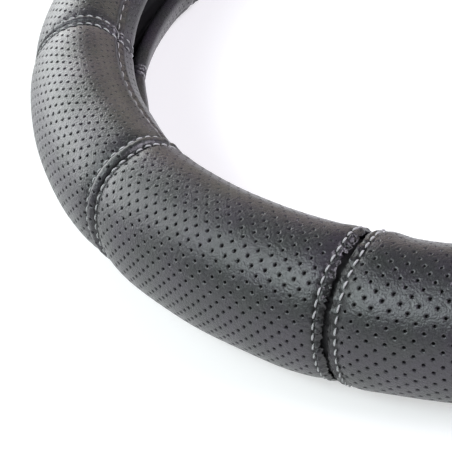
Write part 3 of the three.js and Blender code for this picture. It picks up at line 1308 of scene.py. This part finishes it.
@dataclass(frozen=True)
class PolyesterThread:
    """Light grey twisted polyester sewing thread: matt, with a faint sheen along the plies."""

    name: str = "light_grey_polyester_thread"
    ply: str = "#c0c1be"
    shade: str = "#808183"
    ply_mm: float = 0.3619
    ply_angle: float = 0.5
    ply_height_mm: float = 0.1

    def build(self) -> bpy.types.Material:
        """Makes the material.

        Returns:
            The material, which follows the thread by its texture coordinates.
        """
        material, tree = new_material(self.name)
        uv = add_node(tree, "ShaderNodeUVMap", uv_map="UVMap").outputs["UV"]
        turned = add_node(tree, "ShaderNodeMapping", {
            "Vector": uv, "Rotation": (0.0, 0.0, self.ply_angle)})
        # At scale 1 a wave texture repeats every twentieth of TURN
        plies = add_node(tree, "ShaderNodeTexWave", {
            "Vector": turned.outputs["Vector"], "Scale": THREAD_UV_MM * TURN / 20 / self.ply_mm,
            "Distortion": 0.6, "Detail": 1.0})
        ramp = add_node(tree, "ShaderNodeValToRGB", {"Fac": plies.outputs["Fac"]})
        ramp.color_ramp.elements[0].position = 0.05
        ramp.color_ramp.elements[0].color = linear(self.shade)
        ramp.color_ramp.elements[1].position = 0.6
        ramp.color_ramp.elements[1].color = linear(self.ply)
        bump = add_node(tree, "ShaderNodeBump", {
            "Height": plies.outputs["Fac"], "Strength": 0.6, "Distance": self.ply_height_mm * MM})
        shader = add_node(tree, "ShaderNodeBsdfPrincipled", {
            "Base Color": ramp.outputs["Color"], "Roughness": 0.62,
            "Normal": bump.outputs["Normal"], "Sheen Weight": 0.2, "IOR": 1.5})
        add_node(tree, "ShaderNodeOutputMaterial", {"Surface": shader.outputs["BSDF"]})
        return material


@dataclass(frozen=True)
class MouldedRubber:
    """Black moulded rubber: matt, with a faint mottle from the mould and talc."""

    name: str = "black_moulded_rubber"
    body: str = "#141415"
    bloom: str = "#232324"
    mottle_mm: float = 6.25
    # The mould's grit is finer, and is drawn at this size so that it shows
    grit_mm: float = 0.4
    grit_height_mm: float = 0.05

    def build(self) -> bpy.types.Material:
        """Makes the material.

        Returns:
            The material.
        """
        material, tree = new_material(self.name)
        place = add_node(tree, "ShaderNodeTexCoord").outputs["Object"]
        mottle = add_node(tree, "ShaderNodeTexNoise", {
            "Vector": place, "Scale": 1 / (self.mottle_mm * MM), "Detail": 4.0})
        ramp = add_node(tree, "ShaderNodeValToRGB", {"Fac": mottle.outputs["Fac"]})
        ramp.color_ramp.elements[0].position = 0.35
        ramp.color_ramp.elements[0].color = linear(self.body)
        ramp.color_ramp.elements[1].position = 0.75
        ramp.color_ramp.elements[1].color = linear(self.bloom)
        grit = add_node(tree, "ShaderNodeTexNoise", {
            "Vector": place, "Scale": 1 / (self.grit_mm * MM)})
        bump = add_node(tree, "ShaderNodeBump", {
            "Height": grit.outputs["Fac"], "Strength": 0.4, "Distance": self.grit_height_mm * MM})
        shader = add_node(tree, "ShaderNodeBsdfPrincipled", {
            "Base Color": ramp.outputs["Color"], "Roughness": 0.78,
            "Normal": bump.outputs["Normal"], "IOR": 1.52})
        add_node(tree, "ShaderNodeOutputMaterial", {"Surface": shader.outputs["BSDF"]})
        return material


@dataclass(frozen=True)
class SoftBox:
    """A soft box, aimed at the cover: the way to it, its size in metres, power and tint."""

    name: str
    azimuth: float
    elevation: float
    size: tuple[float, float]
    watts: float
    tint: str

    def build(self, aim: Vector, distance: float) -> None:
        """Hangs the box.

        Args:
            aim: What it points at, in metres.
            distance: How far away it hangs.
        """
        turn, rise = math.radians(self.azimuth), math.radians(self.elevation)
        away = Vector((math.cos(rise) * math.cos(turn), math.cos(rise) * math.sin(turn), math.sin(rise)))
        data = bpy.data.lights.new(self.name, "AREA")
        data.shape = "RECTANGLE"
        data.size, data.size_y = self.size
        data.energy = self.watts
        data.color = linear(self.tint)[:3]
        lamp = bpy.data.objects.new(self.name, data)
        facing = away.to_track_quat("Z", "Y")
        lamp.matrix_world = Matrix.LocRotScale(aim + away * distance, facing, None)
        bpy.context.scene.collection.objects.link(lamp)


SOFT_BOXES = (
    SoftBox("window_behind_left", 134.0, 12.5, (1.66, 0.98), 24.5, "#fbffff"),
    SoftBox("key_box_front_left", 214.0, 45.0, (0.9, 0.7), 15.5, "#f2fdff"),
    SoftBox("spill_box_left", 172.0, 46.0, (0.9, 0.6), 6.0, "#f6fdff"),
    SoftBox("fill_box_right", 348.0, 36.0, (1.1, 1.0), 29.0, "#f6f0ff"),
    SoftBox("warm_wall_behind", 80.0, 5.0, (1.8, 0.7), 5.4, "#fff1e2"),
)


@dataclass
class Studio:
    """A white table and soft light, and a camera at the photograph's angle.

    The camera's distance and the target it looks at are shares of the ring's radius.
    """

    section: TubeSection
    azimuth: float = math.radians(6.65)
    elevation: float = math.radians(36.09)
    roll: float = math.radians(-12.04)
    distance: float = 2.750
    target: tuple[float, float] = (-0.7914, -0.5031)
    lens: float = 124.4
    sensor: float = 36.0
    nearest: float = 0.01
    lit_point: tuple[float, float, float] = (-0.12, -0.1, 0.03)
    lamp_distance: float = 1.5
    table_size: float = 12.0
    table: str = "#fafafa"
    table_seen: str = "#cbcbcb"
    table_glow: float = 0.5
    sky: float = 0.12

    def camera(self) -> None:
        """Places the camera."""
        s = self.section
        turn = Matrix.Rotation(self.azimuth, 3, "Z")
        back = turn @ Vector((0.0, -math.cos(self.elevation), math.sin(self.elevation)))
        aim = turn @ Vector((self.target[0], self.target[1], 0.0)) * s.ring_radius
        aim.z = s.half_height - s.rest_flattening
        across = Vector((0, 0, 1)).cross(back).normalized()
        upward = back.cross(across)
        right = math.cos(self.roll) * across + math.sin(self.roll) * upward
        top = -math.sin(self.roll) * across + math.cos(self.roll) * upward
        pose = Matrix((right, top, back)).transposed().to_4x4()
        pose.translation = (aim + back * self.distance * s.ring_radius) * MM
        data = bpy.data.cameras.new("camera")
        data.lens = self.lens
        data.sensor_width = self.sensor
        data.clip_start = self.nearest
        camera = bpy.data.objects.new("camera", data)
        camera.matrix_world = pose
        bpy.context.scene.collection.objects.link(camera)
        bpy.context.scene.camera = camera

    def floor(self) -> None:
        """Lays the white table.

        The camera and reflections see it white, with the cover's shadow, and it lights the
        cover as plain matt white.
        """
        bpy.ops.object.select_all(action="DESELECT")
        bpy.ops.mesh.primitive_plane_add(size=self.table_size, location=(0, 0, 0))
        table = bpy.context.object
        table.name = "white_table"
        material, tree = new_material("white_table")
        matt = add_node(tree, "ShaderNodeBsdfDiffuse", {"Color": linear(self.table)})
        seen = add_node(tree, "ShaderNodeBsdfDiffuse", {"Color": linear(self.table_seen)})
        glow = add_node(tree, "ShaderNodeEmission", {"Color": (1, 1, 1, 1), "Strength": self.table_glow})
        white = add_node(tree, "ShaderNodeAddShader", {0: seen.outputs[0], 1: glow.outputs[0]})
        path = add_node(tree, "ShaderNodeLightPath").outputs
        watched = add_node(tree, "ShaderNodeMath", {
            0: path["Is Camera Ray"], 1: path["Is Glossy Ray"]}, operation="MAXIMUM")
        mix = add_node(tree, "ShaderNodeMixShader", {
            0: watched.outputs[0], 1: matt.outputs[0], 2: white.outputs[0]})
        add_node(tree, "ShaderNodeOutputMaterial", {"Surface": mix.outputs[0]})
        table.data.materials.append(material)

    def light(self) -> None:
        """Sets the world and the soft boxes."""
        world = bpy.data.worlds.new("studio")
        bpy.context.scene.world = world
        world.use_nodes = True
        tree = world.node_tree
        tree.nodes.clear()
        sky = add_node(tree, "ShaderNodeBackground", {"Color": (1, 1, 1, 1), "Strength": self.sky})
        white = add_node(tree, "ShaderNodeBackground", {"Color": (1, 1, 1, 1), "Strength": 1.0})
        path = add_node(tree, "ShaderNodeLightPath").outputs
        mix = add_node(tree, "ShaderNodeMixShader", {
            0: path["Is Camera Ray"], 1: sky.outputs[0], 2: white.outputs[0]})
        add_node(tree, "ShaderNodeOutputWorld", {"Surface": mix.outputs[0]})
        for box in SOFT_BOXES:
            box.build(Vector(self.lit_point), self.lamp_distance)
        bpy.context.scene.view_settings.view_transform = "Standard"

    def build(self) -> None:
        """Sets up the stage."""
        self.camera()
        self.floor()
        self.light()


@dataclass
class Cover:
    """The whole cover: panels, liner, seams and hems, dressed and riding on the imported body."""

    section: TubeSection
    body: str = "root"

    def dress(
        self, piece: bpy.types.Object, material: bpy.types.Material, slot: Slot, *nodes: str
    ) -> None:
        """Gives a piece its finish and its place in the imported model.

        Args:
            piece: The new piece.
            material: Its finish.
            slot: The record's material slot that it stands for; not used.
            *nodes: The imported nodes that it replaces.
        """
        piece.data.materials.clear()
        piece.data.materials.append(material)
        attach(piece, self.body)
        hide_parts(*nodes)
        LOG.info("%s: %d faces", piece.name, len(piece.data.polygons))

    def build(self) -> None:
        """Builds and dresses every piece."""
        leather = PerforatedLeather().build()
        thread = PolyesterThread().build()
        rubber = MouldedRubber().build()
        count = self.section.panel_count
        self.dress(RubberLiner(self.section).build(), rubber, Slot.RUBBER, "inner_liner_ring")
        pattern = FlatPattern(self.section)
        panels = [LeatherPanel(index, self.section, pattern) for index in range(count)]
        for side in (Side.UPPER, Side.LOWER):
            stitches = HemStitches(side, panels).build()
            self.dress(stitches, thread, Slot.THREAD, f"hem_thread_{side.name.lower()}")
        flat = (pattern.width * MM, 2 * self.section.edge_arc * MM)
        for index in range(count):
            number = f"{index + 1:02d}"
            for side in (Side.BEFORE, Side.AFTER):
                stitches = SeamStitches(index, side, panels).build()
                self.dress(stitches, thread, Slot.THREAD, f"seam_thread_{number}_{side.name.lower()}")
            panel = panels[index].build()
            self.dress(panel, leather, Slot.LEATHER, f"leather_panel_{number}")


def main() -> None:
    """Builds the cover and its stage."""
    section = TubeSection()
    Studio(section).build()
    Cover(section).build()


if __name__ == "__main__":
    main()
